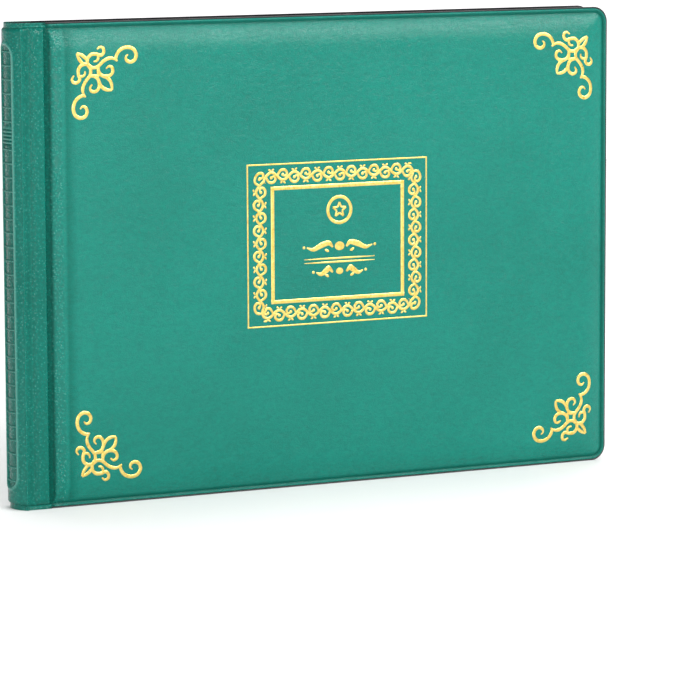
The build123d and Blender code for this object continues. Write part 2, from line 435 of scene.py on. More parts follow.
def film(name, tone, clear, edge):
    """Thin vinyl film: see-through face on, hazier and glossier at a slant."""
    shader = Shader(name, Specular_IOR_Level=0.6)
    facing = shader.node("ShaderNodeLayerWeight")
    facing.inputs["Blend"].default_value = 0.35
    streaks = shader.noise(0.12, 4, 0.6, 0.6)
    colour = shader.colours(streaks, (0.3, tone), (0.7, tuple(min(1, t * 1.25) for t in tone)))
    alpha = shader.remap(facing.outputs["Facing"], 0.0, 1.0, clear, edge)
    gloss = shader.remap(streaks, 0.3, 0.7, 0.10, 0.22)
    normal = shader.bump(streaks, 0.25, 0.5)
    return shader.use(Base_Color=colour, Alpha=alpha, Roughness=gloss, Normal=normal)


def weld_plastic():
    """Knurled weld lines, where clear film over black has turned milky grey."""
    shader = Shader("milky_weld", Specular_IOR_Level=0.6)
    spots = shader.noise(0.9, 4, 0.6)
    colour = shader.colours(spots, (0.3, (0.22, 0.23, 0.24)), (0.7, (0.62, 0.63, 0.65)))
    gloss = shader.remap(spots, 0.3, 0.7, 0.2, 0.4)
    normal = shader.bump(spots, 0.05, 0.5)
    return shader.use(Base_Color=colour, Roughness=gloss, Normal=normal)


def fibrous(name, dark, light, scale, bump):
    """Plain inner material, such as foam or grey board."""
    shader = Shader(name, Roughness=0.9)
    fibres = shader.noise(scale, 6, 0.7, stretch=(0.3, 10))
    colour = shader.colours(fibres, (0.3, dark), (0.7, light))
    normal = shader.bump(fibres, bump, 0.7)
    return shader.use(Base_Color=colour, Normal=normal)


def floor_paper():
    shader = Shader("floor_paper", Roughness=0.85)
    tone = shader.noise(0.004, 3, 0.5)
    colour = shader.colours(tone, (0.3, (0.90, 0.90, 0.90)), (0.7, (0.93, 0.93, 0.93)))
    return shader.use(Base_Color=colour)


COVER_GREEN = leathercloth("green_leathercloth_cover")
PEBBLE_GREEN = leathercloth("green_leathercloth_pebbled", 0.95)
LINING_BLACK = black_vinyl("black_lining", 0.010, 0.38)
SHEET_BLACK = black_vinyl("black_sheet", 0.008, 0.30, 0.25)
FOIL_GOLD = foil_gold()
PALE_COIN = coin_gold("pale_gold_coin", (0.36, 0.19, 0.04), (0.72, 0.47, 0.14), (0.93, 0.70, 0.28))
WARM_COIN = coin_gold("warm_gold_coin", (0.28, 0.10, 0.015), (0.72, 0.36, 0.06), (0.95, 0.60, 0.17))
CLEAR_FILM = film("clear_film", (0.30, 0.31, 0.32), 0.02, 0.28)
SMOKED_FILM = film("smoked_film", (0.030, 0.030, 0.032), 0.50, 0.85)
WELD = weld_plastic()
FOAM = fibrous("pale_foam", (0.55, 0.54, 0.48), (0.78, 0.76, 0.68), 1.5, 0.2)
BOARD = fibrous("grey_board", (0.24, 0.23, 0.21), (0.42, 0.40, 0.36), 0.8, 0.1)


# ======================= Covers =======================

def edge_distance(x, z):
    """Distance inside the cover's outline, which is rounded at the fore-edge."""
    across = FORE_EDGE - x
    along = from_end(z)
    rounded = COVER_CORNER - np.hypot(COVER_CORNER - across, COVER_CORNER - along)
    in_corner = (across < COVER_CORNER) & (along < COVER_CORNER)
    return np.where(in_corner, rounded, np.minimum(across, along))


def soft_distance(x, z):
    """Distance inside the outline, rounded off where two padded edges meet."""
    across = np.clip(FORE_EDGE - x, 0.01, None)
    along = np.clip(from_end(z), 0.01, None)
    return np.minimum(edge_distance(x, z), (across**-3.0 + along**-3.0) ** (-1 / 3))


def round_bead(d):
    """Round section of height 1 that starts at the edge and is a bead wide."""
    return np.sqrt(unit(1 - ((d - BEAD_RADIUS) / BEAD_RADIUS) ** 2))


def quarter_round(t):
    """Rise from 0 to 1 along a quarter of a circle."""
    return np.sqrt(1 - (1 - unit(t)) ** 2)


def rim_level(d, soft):
    """Level of the welded rim and padded edge at a distance inside the outline."""
    d = d - BLACK_BEAD
    soft = soft - BLACK_BEAD
    bead = BEAD_FOOT + (BEAD_TOP - BEAD_FOOT) * round_bead(d)
    rim = np.where(d < BEAD_RADIUS, bead, np.maximum(bead, SEAM_LEVEL))
    s = unit((soft - SEAM_END) / PADDED_EDGE)
    padded = SEAM_LEVEL + (COVER_OUTER - SEAM_LEVEL) * (1 - (1 - s) ** 2.2)
    return np.maximum(rim, padded)


def cover_level(x, z):
    """Distance of the cover's face from the mid-plane."""
    from_groove = (x - COVER_START - GROOVE_SHIFT) / BAND_WIDTH
    band = GROOVE_LEVEL + (COVER_OUTER - GROOVE_LEVEL) * quarter_round(from_groove * 0.92)
    crease = 0.10 * ridge(x, COVER_START + GROOVE_SHIFT + BAND_WIDTH, 0.45)
    u = (x - (COVER_START + FORE_EDGE) / 2) / ((FORE_EDGE - COVER_START) / 2)
    v = (z - HEIGHT / 2) / (HEIGHT / 2)
    crown = CROWN * unit(1 - u**2) * unit(1 - v**2)
    sway = 0.05 * np.sin(x / 19 + 0.6) * np.sin(z / 23 + 1.1) + 0.03 * np.sin(x / 9.5 + z / 13)
    inside = smooth_step((edge_distance(x, z) - 3) / 10)
    rim = rim_level(edge_distance(x, z), soft_distance(x, z))
    return np.minimum(rim, band) + (crown + sway) * inside - crease * inside


def rounded_grid(xs, zs, inset=0.0):
    """Grid over the cover whose two fore-edge corners are rounded."""
    x, z = grid_of(xs, zs)
    r = COVER_CORNER
    middle = HEIGHT / 2
    a = (x - (FORE_EDGE - r)) / r
    b = (np.abs(z - middle) - (middle - r)) / r
    corner = (a > 0) & (b > 0)
    a_round = a * np.sqrt(1 - unit(b) ** 2 / 2)
    b_round = b * np.sqrt(1 - unit(a) ** 2 / 2)
    x = np.where(corner, FORE_EDGE - r + a_round * r, x)
    z = np.where(corner, middle + np.sign(z - middle) * (middle - r + b_round * r), z)
    return x - inset * unit((x - COVER_START) / 40), middle + (z - middle) * (1 - inset / middle)


def points(x, distance, z, side):
    """Points at a distance from the mid-plane, on the front or back side."""
    return np.stack([x, side * distance, z], -1)


def make_cover(name, side):
    xs = lines(COVER_START, FORE_EDGE, 7.5, 13.0, 4.0)
    zs = lines(0, HEIGHT, 13.0, 13.0, 4.0)
    x, z = rounded_grid(xs, zs, BLACK_BEAD)
    outer = points(x, cover_level(x, z), z, side)
    inner = points(x, np.full_like(x, LINING_OUTER + SLIP), z, side)
    skin = add_mesh(f"{name}_cover_padded_skin", *grid_solid(outer, inner), COVER_GREEN)
    # Painted shade along the welded seam, in the hinge groove and along the crease at the band's edge.
    seam = ridge(edge_distance(x, z) - BLACK_BEAD, SEAM_END - 0.35, 0.7)
    groove = 0.85 * unit(1 - (x - COVER_START - 1.2) / 0.9)
    edge_line = 0.45 * ridge(x, COVER_START + GROOVE_SHIFT + BAND_WIDTH + 0.4, 0.5)
    store_painted_shade_and_highlight(skin, unit(np.maximum.reduce([0.9 * seam, groove, edge_line])))
    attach(skin, f"{name}_cover")
    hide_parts(f"{name}_cover_skin")
    make_cover_lining(name, side, xs, zs)
    make_core(name, side, "foam", FOAM_INSET, FOAM_INNER, FOAM_TOP, FOAM)
    make_core(name, side, "board", BOARD_INSET, LINING_OUTER + 0.03, BOARD_TOP, BOARD)


def make_cover_lining(name, side, xs, zs):
    """Black vinyl with a pressed rim and a slight puff inside, and a bead round the skin."""
    d = edge_distance(*rounded_grid(xs, zs, BLACK_BEAD))
    rim = 0.16 * unit(1 - np.abs(d - 0.6) / 0.6)
    puff = 0.14 * smooth_step((d - 1.6) / 3.0)
    x, z = rounded_grid(xs, zs)
    d = edge_distance(x, z)
    bulb = 0.42 * np.sqrt(unit(1 - ((d - BLACK_BEAD / 2) / (BLACK_BEAD * 0.75)) ** 2))
    outer = points(x, LINING_OUTER + bulb * unit((x - COVER_START - 0.2) / 0.5), z, side)
    inner = points(x, COVER_INNER + 0.12 - rim - puff, z, side)
    lining = add_mesh(f"{name}_cover_vinyl_lining", *grid_solid(inner, outer), LINING_BLACK)
    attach(lining, f"{name}_cover")
    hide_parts(f"{name}_cover_lining")


def make_core(name, side, part, inset, inner_level, top, material):
    """Foam or board inside a cover, kept below the skin's padded edge."""
    xs = lines(COVER_START + inset + 1.5, FORE_EDGE - inset, 6, 10, 8.0, count=8)
    zs = lines(inset, HEIGHT - inset, 10, 10, 8.0, count=8)
    x, z = grid_of(xs, zs)
    across, along = FORE_EDGE - inset - x, from_end(z) - inset
    blunt = np.clip(COVER_CORNER - across - along, 0, None) * 0.3
    x = x - blunt
    level = np.minimum(top, cover_level(x, z) - SKIN)
    outer = points(x, np.maximum(level, inner_level + 0.1), z, side)
    inner = points(x, inner_level + 0 * x, z, side)
    core = add_mesh(f"{name}_cover_{part}_core", *grid_solid(outer, inner), material)
    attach(core, f"{name}_cover")
    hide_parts(f"{name}_cover_{part}")


def dress(node, material):
    """Give a carried-over CAD node its material."""
    mesh = frame["nodes"][node].data
    mesh.materials.clear()
    mesh.materials.append(material)


# ======================= Hinge strips =======================
STRIP_LEVEL = 8.35
SHALLOW_LEVEL = 7.6
STRIP_START = SHOULDER_X + 3.3
STRIP_END = COVER_START - 0.7


def strip_level(x, z):
    """Level of the soft strip between its shallow groove and its deep one."""
    left = SHALLOW_LEVEL + (STRIP_LEVEL - SHALLOW_LEVEL) * quarter_round((x - STRIP_START) / 2.0)
    rise = quarter_round((STRIP_END - x) / 1.2)
    right = GROOVE_LEVEL + 0.01 + (STRIP_LEVEL - GROOVE_LEVEL) * rise
    shoulder = SHALLOW_LEVEL + (SHOULDER - SHALLOW_LEVEL) * unit(1 - (x - SHOULDER_X) / 0.7)
    level = np.minimum(np.maximum(left, shoulder), right)
    bulge = 0.10 * np.sin(np.pi * unit((x - STRIP_START) / (STRIP_END - STRIP_START)))
    return np.minimum(level + bulge, end_level(z, 8.6))


def end_level(z, full):
    """Welded rim and padded shoulder towards the top and bottom ends."""
    d = from_end(z)
    bead = BEAD_TOP - 0.2 + 0.2 * round_bead(d)
    return np.maximum(bead, BEAD_TOP - 0.2 + (full - BEAD_TOP + 0.2) * quarter_round((d - SEAM_END) / 3.0))


def end_seam_shade(z):
    """Painted shade along the welded seam at the top and bottom ends."""
    return 0.8 * ridge(from_end(z), SEAM_END - 0.3, 0.7)


def make_hinge(name, side):
    xs = np.linspace(SHOULDER_X - 0.3, COVER_START + 0.3, 40)
    zs = lines(0, HEIGHT, 6.0, 6.0, 3.0, count=16)
    x, z = grid_of(xs, zs)
    outer = points(x, strip_level(x, z), z, side)
    inner = points(x, np.full_like(x, STRIP_INNER), z, side)
    skin = add_mesh(f"{name}_hinge_soft_strip", *grid_solid(outer, inner), PEBBLE_GREEN)
    # Painted shade in the shallow groove, over the whole soft strip, in the deep groove and along the end
    # seams.
    shallow = 0.5 * unit(1 - np.abs(x - SHOULDER_X - 1.8) / 1.9) ** 0.5
    strip = 0.32 * smooth_step((x - STRIP_START) / 0.8)
    groove = 0.85 * unit((x - STRIP_END + 0.7) / 0.8)
    store_painted_shade_and_highlight(skin, unit(np.maximum.reduce([shallow, strip, groove, end_seam_shade(z)])))
    bend_at_hinge(skin)
    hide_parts(f"{name}_hinge_strip")

    xs = np.arange(BINDING_X - 1.0, COVER_START + 0.9, 0.3)
    x, z = grid_of(xs, np.linspace(0.3, HEIGHT - 0.3, 40))
    drop = 0.55 * smooth_step((x - (COVER_START - 2.0)) / 2.0)
    outer = points(x, STRIP_INNER - 0.01 - drop, z, side)
    inner = points(x, STRIP_INNER - 0.25 - drop, z, side)
    lining = add_mesh(f"{name}_hinge_lining", *grid_solid(inner, outer), LINING_BLACK)
    bend_at_hinge(lining)


def bend_at_hinge(piece):
    """Bake a strip's placement into its mesh points."""
    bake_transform(piece)


# ======================= Spine =======================
PANEL_HALF_WIDTH = 4.5
PANEL_HALF_LENGTH = 82.0
PANEL_DEPTH = 0.65
RIB_COUNT = 32
RIB_HALF = 0.5
FINE_RIBS = 5
FINE_RIB_PITCH = 1.35
FINE_RIB_TOP = 141.5
RIB_PITCH = 2 * PANEL_HALF_LENGTH / RIB_COUNT
FIRST_RIB = HEIGHT / 2 - PANEL_HALF_LENGTH + RIB_PITCH / 2


def rib_heights(z):
    """Raised bars across the sunken panel, with one close group of finer bars."""
    offset = np.abs((z - FIRST_RIB + RIB_PITCH / 2) % RIB_PITCH - RIB_PITCH / 2)
    ribs = np.cos(unit(offset / RIB_HALF) * np.pi / 2) ** 2
    group = (z < FINE_RIB_TOP) & (z > FINE_RIB_TOP - FINE_RIBS * FINE_RIB_PITCH)
    fine = 0.5 + 0.5 * np.cos((z - FINE_RIB_TOP) / FINE_RIB_PITCH * 2 * np.pi)
    return np.where(group, fine, ribs)


def panel_distance(s, z):
    """Distance inside the round-ended panel, at arc length s from the spine's middle line."""
    along = np.abs(z - HEIGHT / 2) - (PANEL_HALF_LENGTH - PANEL_HALF_WIDTH)
    return PANEL_HALF_WIDTH - np.hypot(s, np.clip(along, 0, None))


def spine_relief(s, z):
    """Height of the spine's skin above its round form."""
    inside = panel_distance(s, z)
    panel = smooth_step(inside / 0.7)
    rail = 0.38 * np.exp(-(((inside + 0.55) / 0.45) ** 2))
    ribs = rib_heights(z) * smooth_step((inside - 0.2) / 0.6)
    relief = -PANEL_DEPTH * panel + rail + (PANEL_DEPTH + 0.12) * ribs
    return np.minimum(relief, end_level(z, SHOULDER + 0.4) - SHOULDER)


def make_spine():
    half_angle = math.asin(SHOULDER / SPINE_RADIUS)
    angles = np.linspace(-half_angle - 0.02, half_angle + 0.02, 73)
    steps = (-1.2, -0.5, -0.25, 0, 0.25, 0.5, 1.2)
    ribs = [FIRST_RIB + k * RIB_PITCH + step for k in range(RIB_COUNT) for step in steps]
    group = np.arange(FINE_RIB_TOP - FINE_RIBS * FINE_RIB_PITCH, FINE_RIB_TOP, FINE_RIB_PITCH / 6)
    zs = np.unique(np.round(np.concatenate([lines(0, HEIGHT, 9.0, 9.0, 3.0), ribs, group]), 4))
    zs = zs[np.insert(np.diff(zs) > 0.08, 0, True)]
    a, z = grid_of(angles, zs)
    s = a * SPINE_RADIUS
    radius = SPINE_RADIUS + spine_relief(s, z)
    outer = np.stack([SPINE_CENTRE_X - radius * np.cos(a), radius * np.sin(a), z], -1)
    thin = SPINE_RADIUS - 0.8
    inner = np.stack([SPINE_CENTRE_X - thin * np.cos(a), thin * np.sin(a), z], -1)
    skin = add_mesh("spine_embossed_skin", *grid_solid(outer, inner), PEBBLE_GREEN)
    # Painted shade in the sunken panel and along the end seams; painted highlight on the rail round the
    # panel and on the ribs.
    inside = panel_distance(s, z)
    sunken = 0.16 * smooth_step((inside + 0.1) / 0.5) * (1 - rib_heights(z))
    raised = np.maximum(ridge(inside, -0.5, 0.4), rib_heights(z) * (inside > 0.3))
    store_painted_shade_and_highlight(skin, np.clip(np.maximum(sunken, end_seam_shade(z)) - 0.9 * raised, -1, 1))
    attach(skin, "spine")
    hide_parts("spine_skin")
    make_spine_lining(thin - 0.05)
    dress("spine_foam", FOAM)
    dress("spine_board", BOARD)
    for name in ("front", "back"):
        dress(f"{name}_leaf_binding", LINING_BLACK)


def make_spine_lining(radius):
    """Lining flat against the board, which swells out to meet the skin at both ends."""
    ys = np.linspace(-spine_lining_high[1], spine_lining_high[1], 41)
    zs = lines(0.15, HEIGHT - 0.15, 7.0, 7.0, 4.0, count=16)
    y, z = grid_of(ys, zs)
    ends = 1 - smooth_step((from_end(z) - 0.8) / 4.0)
    arc_x = SPINE_CENTRE_X - np.sqrt(np.clip(radius**2 - y**2, 0, None))
    flat_x = spine_lining_low[0]
    x = flat_x + np.minimum(arc_x - flat_x, 0) * ends
    front = np.stack([x + 0.35, y, z], -1)
    back = np.stack([x, y, z], -1)
    lining = add_mesh("spine_vinyl_lining", *grid_solid(front, back), LINING_BLACK)
    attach(lining, "spine")
    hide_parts("spine_lining")


# ======================= Gold foil =======================
FOIL_CENTRE_X = 5.9
FOIL_CENTRE_Z = 93.6
ORNAMENT_OFFSET = (101.9, 71.6)
PANEL_CENTRE_X = (COVER_START + FORE_EDGE) / 2 + 0.8
BAND_HALF = (33.2, 26.2)
BAND_CORNER = 2.6
CURLS = 48
FOIL_SECTION = [(-0.56, -0.08), (-0.48, 0.045), (0.0, 0.06), (0.48, 0.045), (0.56, -0.08)]


def spline(control, samples=7):
    """Smooth curve through control points, in Catmull-Rom spans."""
    p = np.asarray(control, float)
    p = np.vstack([2 * p[0] - p[1], p, 2 * p[-1] - p[-2]])
    t = np.linspace(0, 1, samples, endpoint=False)[:, None]
    spans = []
    for a, b, c, d in zip(p[:-3], p[1:-2], p[2:-1], p[3:]):
        spans.append(0.5 * (2 * b + (c - a) * t + (2 * a - 5 * b + 4 * c - d) * t**2
                            + (3 * b - a - 3 * c + d) * t**3))
    return np.vstack([*spans, p[-2:-1]])


def on_cover(x, z, lift):
    """Point on the front cover's face, raised by a lift."""
    return np.stack([x, -(cover_level(x, z) + lift), z], -1)


def add_ribbon(pile, path, widths, place):
    """Flat foil stroke with a slightly domed top along a path in the x-z plane."""
    path = place(np.asarray(path, float))
    tangent = np.gradient(path, axis=0)
    tangent /= np.linalg.norm(tangent, axis=1)[:, None] + 1e-9
    normal = np.stack([-tangent[:, 1], tangent[:, 0]], -1)
    width = np.interp(np.linspace(0, 1, len(path)), np.linspace(0, 1, len(widths)), widths)
    rings = []
    for across, lift in FOIL_SECTION:
        flat = path + normal * (width * across)[:, None]
        rings.append(on_cover(flat[:, 0], flat[:, 1], lift))
    pile.add(*tube(np.stack(rings, 1)))


def add_dot(pile, centre, radius, place, stretch=1.0, turn=0.0):
    """Small domed foil dot or leaf lobe."""
    angles = np.linspace(0, 2 * np.pi, 14, endpoint=False)
    local = np.stack([np.cos(angles) * radius * stretch, np.sin(angles) * radius], -1)
    spin = np.array([[math.cos(turn), math.sin(turn)], [-math.sin(turn), math.cos(turn)]])
    centre = np.asarray([centre], float)
    flat = [(local @ spin + centre, -0.08), (local @ spin * 0.75 + centre, 0.07), (centre, 0.12)]
    verts = np.concatenate([on_cover(*place(spots).T, lift) for spots, lift in flat])
    count = len(angles)
    faces = [list(range(count))[::-1]]
    for k in range(count):
        after = (k + 1) % count
        faces.append([k, after, count + after, count + k])
        faces.append([count + k, count + after, 2 * count])
    pile.add(verts, faces)


# Strokes of one half of a corner ornament. The first number runs along the cover's
# long side and the second along its short side, both away from the corner.
ORNAMENT_STROKES = [
    ([(0.6, -1.4), (1.9, -2.2), (3.5, -3.6), (5.4, -4.6), (7.4, -4.7), (9.3, -3.7)], (1.2, 1.25, 1.25, 0.7)),
    ([(8.5, -4.2), (9.2, -6.2), (10.8, -7.9), (13.3, -8.6), (15.7, -7.9), (16.9, -5.9), (16.3, -3.9),
      (14.6, -3.1), (13.1, -3.7), (12.7, -5.0), (13.6, -5.9)], (1.2, 1.3, 1.35, 1.3, 1.2, 0.45)),
    ([(-1.7, -1.2), (-2.7, -2.9), (-2.6, -4.9), (-1.2, -6.3), (0.8, -6.4), (2.6, -5.9), (3.8, -6.9),
      (3.7, -8.4), (2.5, -9.0), (1.2, -8.2)], (1.2, 1.25, 1.25, 1.2, 1.15, 0.5)),
    ([(1.4, -6.2), (1.6, -4.9), (0.9, -3.9), (-0.3, -3.7)], (0.9, 1.0, 0.5)),
    ([(1.5, -1.8), (1.7, -0.1), (2.8, 1.4), (4.8, 1.9), (6.5, 1.4), (7.4, 0.1), (7.1, -1.3),
      (5.9, -1.8), (4.7, -1.0)], (1.2, 1.25, 1.2, 1.15, 0.5)),
    ([(-6.9, -6.9), (-5.2, -6.3), (-3.9, -5.4), (-2.6, -4.2)], (0.9, 1.3, 1.2)),
    ([(3.4, 1.8), (5.0, 2.4), (6.3, 3.6), (6.9, 5.2), (7.0, 7.0)], (1.1, 1.25, 1.25, 0.8)),
    ([(-1.9, -1.5), (0.0, -1.45), (1.7, -1.7)], (1.3, 1.15, 1.2)),
    ([(1.6, -1.6), (1.55, 0.0), (1.9, 1.8)], (1.1, 1.15, 1.2)),
]


def make_corner_ornament(name, side_x, side_z):
    pile = Pile()
    offset = np.array([side_x, side_z]) * ORNAMENT_OFFSET
    centre = np.array([PANEL_CENTRE_X, HEIGHT / 2]) + offset
    inward = np.array([-side_x, -side_z])
    for points_along, widths in ORNAMENT_STROKES:
        path = spline(points_along)
        for mirrored in (path, path[:, ::-1]):
            add_ribbon(pile, mirrored, widths, lambda p: centre + p * inward)
    foil_piece(f"foil_corner_{name}", pile)


def foil_piece(name, pile):
    piece = add_mesh(name, pile.verts, pile.faces, FOIL_GOLD, sharp=80)
    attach(piece, "front_cover")
    return piece


def frame_place(p):
    """Places on the cover from places about the title frame's centre."""
    return p + np.array([FOIL_CENTRE_X, FOIL_CENTRE_Z])


def make_title_frame():
    pile = Pile()
    for half_width, half_height, line in ((38.25, 30.75, 0.55), (27.8, 21.6, 1.4)):
        signs = np.array([(-1, -1), (1, -1), (1, 1), (-1, 1)])
        corners = signs * (half_width, half_height)
        for a, b in zip(corners, np.roll(corners, -1, axis=0)):
            direction = (b - a) / np.linalg.norm(b - a)
            path = np.linspace(a - direction * line / 2, b + direction * line / 2, 24)
            add_ribbon(pile, path, (line, line), frame_place)
    piece = foil_piece("foil_title_frame", pile)
    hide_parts("front_cover_foil")


def make_scroll_border():
    """Running scroll between the frame's two lines: a waving stem with a curl in every bend."""
    pile = Pile()
    waves = CURLS // 2
    period = band_length() / waves
    stem = np.linspace(0, waves * period, waves * 20 + 1)
    wave = np.stack([stem, 1.45 * np.sin(stem * 2 * np.pi / period)], -1)
    for part in range(waves):
        add_ribbon(pile, wave[part * 20:part * 20 + 21], (1.0, 1.0), along_band)
    curl = [(0.1, 0.3), (0.5, -1.0), (1.5, -2.2), (3.1, -2.3), (4.1, -1.2), (3.6, -0.1), (2.5, -0.2)]
    for k in range(CURLS):
        start = np.array([k * period / 2, 0.0])
        flip = np.array([1.0, 1.0 if k % 2 == 0 else -1.0])
        add_ribbon(pile, start + spline(curl, 5) * flip, (0.7, 0.95, 1.0, 0.9, 0.6), along_band)
        add_dot(pile, start + (2.35, -0.55) * flip, 0.68, along_band)
        for spot, turn in (((1.7, 2.35), -0.5), ((3.0, 2.45), 0.5)):
            add_dot(pile, start + spot * flip, 0.42, along_band, 1.7, turn * flip[1])
    foil_piece("foil_scroll_border", pile)


def band_length():
    """Length of the border's middle line, round its four corners."""
    return 4 * (BAND_HALF[0] + BAND_HALF[1] - 2 * BAND_CORNER) + 2 * np.pi * BAND_CORNER


def along_band(p):
    """Places on the cover from length along the border and distance outside its middle line."""
    run, out = p[:, 0] % band_length(), p[:, 1]
    placed = np.zeros_like(p)
    sides = [2 * (BAND_HALF[0] - BAND_CORNER), 2 * (BAND_HALF[1] - BAND_CORNER)] * 2
    start, heading = 0.0, 0.0
    spot = np.array([-BAND_HALF[0] + BAND_CORNER, BAND_HALF[1]])
    for side in sides:
        ahead = np.array([math.cos(heading), math.sin(heading)])
        outward = np.array([-ahead[1], ahead[0]])
        on_side = (run >= start) & (run <= start + side)
        placed[on_side] = spot + np.outer(run[on_side] - start, ahead) + np.outer(out[on_side], outward)
        start, spot = start + side, spot + side * ahead
        turn = np.pi / 2 * BAND_CORNER
        on_turn = (run > start) & (run < start + turn + 0.001)
        angle = (run[on_turn] - start) / BAND_CORNER
        pivot = spot - outward * BAND_CORNER
        reach = (BAND_CORNER + out[on_turn])[:, None]
        placed[on_turn] = pivot + reach * (np.outer(np.cos(angle), outward) + np.outer(np.sin(angle), ahead))
        start, spot = start + turn, pivot + ahead * BAND_CORNER
        heading -= np.pi / 2
    return frame_place(placed)


def make_emblem():
    """Plain generic emblem: a ring with a star, over two ornamental rules."""
    pile = Pile()
    centre = np.array([0.6, 12.3])
    angles = np.linspace(0, 2 * np.pi, 61)
    ring = centre + 4.95 * np.stack([np.cos(angles), np.sin(angles)], -1)
    add_ribbon(pile, ring, (1.2, 1.2), frame_place)
    tips = [(2.9 if k % 2 == 0 else 1.25, math.pi / 2 + k * math.pi / 5) for k in range(11)]
    star = np.array([(r * math.cos(t), r * math.sin(t)) for r, t in tips])
    for a, b in zip(star[:-1], star[1:]):
        add_ribbon(pile, np.linspace(centre + a, centre + b, 4), (0.75, 0.75), frame_place)
    for row, half, size in ((-1.6, 14.0, 1.9), (-11.2, 10.0, 1.4)):
        add_dot(pile, (0.6, row), size, frame_place, 1.25)
        for sign in (-1, 1):
            sweep = [(2.9, -0.3), (4.6, 1.3), (half * 0.55, 0.6), (half * 0.8, -0.9), (half, -0.1)]
            path = spline(np.array(sweep) * [sign, 1] + [0.6, row], 6)
            add_ribbon(pile, path, (0.7, 1.8, 2.1, 1.4, 0.5), frame_place)
            add_dot(pile, (0.6 + sign * (half + 1.2), row), 0.65, frame_place)
            add_dot(pile, (0.6 + sign * 5.4, row - 1.5), 0.6, frame_place, 1.8, sign * 0.5)
    for row in (-6.2, -7.6):
        path = np.linspace((-14.5, row), (15.7, row), 24)
        add_ribbon(pile, path, (0.2, 0.7, 0.7, 0.2), frame_place)
    foil_piece("foil_emblem", pile)


# ======================= Leaves =======================

def pocket_cells(grid):
    """Left, right, bottom and top of each pocket, measured from the leaf's hinge."""
    column = (FIELD_END - FIELD_START) / grid["columns"]
    row = (FIELD_TOP - FIELD_BOTTOM + grid["gap"]) / grid["rows"]
    for i in range(grid["columns"]):
        for j in range(grid["rows"]):
            left = FIELD_START + i * column
            bottom = FIELD_BOTTOM + j * row
            yield left, left + column, bottom, bottom + row - grid["gap"]


def film_height(u, z, grid):
    """Height of the film over the sheet: welded down at the seams, lifted by coins."""
    height = np.full_like(u, 0.03)
    seam = grid["seam"] / 2
    for left, right, bottom, top in pocket_cells(grid):
        edge = np.minimum.reduce([u - left - seam, right - seam - u, z - bottom, top - z])
        inside = edge > 0
        beyond = np.clip(np.hypot(u - (left + right) / 2, z - (bottom + top) / 2) - grid["coin"], 0, None)
        lift = (COIN_BAY + 0.03) * edge / (edge + beyond + 1e-6)
        height = np.where(inside, np.maximum(height, lift), height)
    return height


class Leaf:
    """Places of one leaf: leaf coordinates are along, height and up."""

    def __init__(self, number):
        self.name = f"leaf_{number:02d}"
        hinge = HINGES[self.name]
        self.side = FRONT if hinge[1] < 0 else BACK
        self.root = hinge[0]
        self.distance = abs(hinge[1])
        low, high = node_box(f"{self.name}_sheet")
        self.face = min(abs(low[1]), abs(high[1]))
        self.half = (high[1] - low[1]) / 2
        self.bottom, self.top = low[2], high[2]
        self.filled = number in (5, 6)
        self.grid = SMALL if number <= 5 else LARGE

    def at(self, along, height, up):
        """Points of the frame from places on the leaf, with height above its sheet."""
        along, height, up = np.broadcast_arrays(along, height, up)
        return np.stack([self.root + along, self.side * (self.face - height), up], -1)


def add_knurl(pile, leaf, start, end, width, pitch):
    """Row of small pressed pyramids between two points of a leaf."""
    start, end = np.array(start, float), np.array(end, float)
    length = np.linalg.norm(end - start)
    direction = (end - start) / length
    across = np.array([-direction[1], direction[0]]) * width / 2
    count = max(1, int(length / pitch))
    reach = direction * pitch * 0.40
    for k in range(count):
        middle = start + direction * (k + 0.5) * length / count
        ahead, behind = middle + reach, middle - reach
        corners = [behind - across, ahead - across, ahead + across, behind + across]
        base = [leaf.at(c[0], 0.02, c[1]) for c in corners]
        shrunk = [middle + (c - middle) * 0.45 for c in corners]
        top = [leaf.at(c[0], KNURL_HEIGHT, c[1]) for c in shrunk]
        faces = [(3, 2, 1, 0), (4, 5, 6, 7), (0, 1, 5, 4), (1, 2, 6, 5), (2, 3, 7, 6), (3, 0, 4, 7)]
        pile.add(base + top, faces)


def add_rail(pile, leaf, along, width):
    """Smooth raised weld beside the pockets, rounded across."""
    ups = np.linspace(leaf.bottom + 2.5, leaf.top - 2.5, 30)
    section = [(-0.5, 0.02), (-0.3, RAIL_HEIGHT), (0.3, RAIL_HEIGHT), (0.5, 0.02)]
    rings = np.stack([leaf.at(along + a * width + 0 * ups, h + 0 * ups, ups) for a, h in section], 1)
    pile.add(*tube(rings))


def make_welds(leaf):
    """All weld lines of a leaf, in one piece."""
    pile = Pile()
    grid = leaf.grid
    column = (FIELD_END - FIELD_START) / grid["columns"]
    for left, right, bottom, top in pocket_cells(grid):
        inset = grid["seam"] / 2 + 0.3
        for level in (bottom - 0.7, top + 0.7):
            add_knurl(pile, leaf, (left + inset, level), (right - inset, level), WELD_WIDTH, 2.1)
    for i in range(grid["columns"] + 1):
        along = FIELD_START + i * column
        for offset in (-0.27, 0.27):
            shift = 0.4 if offset > 0 else 0.0
            place = along + offset * grid["seam"]
            start, end = (place, FIELD_BOTTOM - 1 + shift), (place, FIELD_TOP + 1 - shift)
            add_knurl(pile, leaf, start, end, grid["seam"] * 0.46, 1.45)
    add_rail(pile, leaf, FIELD_START - 3.2, WELD_WIDTH)
    welds = add_mesh(f"{leaf.name}_weld_lines", pile.verts, pile.faces, WELD, sharp=30)
    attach(welds, leaf.name)
    if leaf.filled:
        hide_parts(f"{leaf.name}_seams")


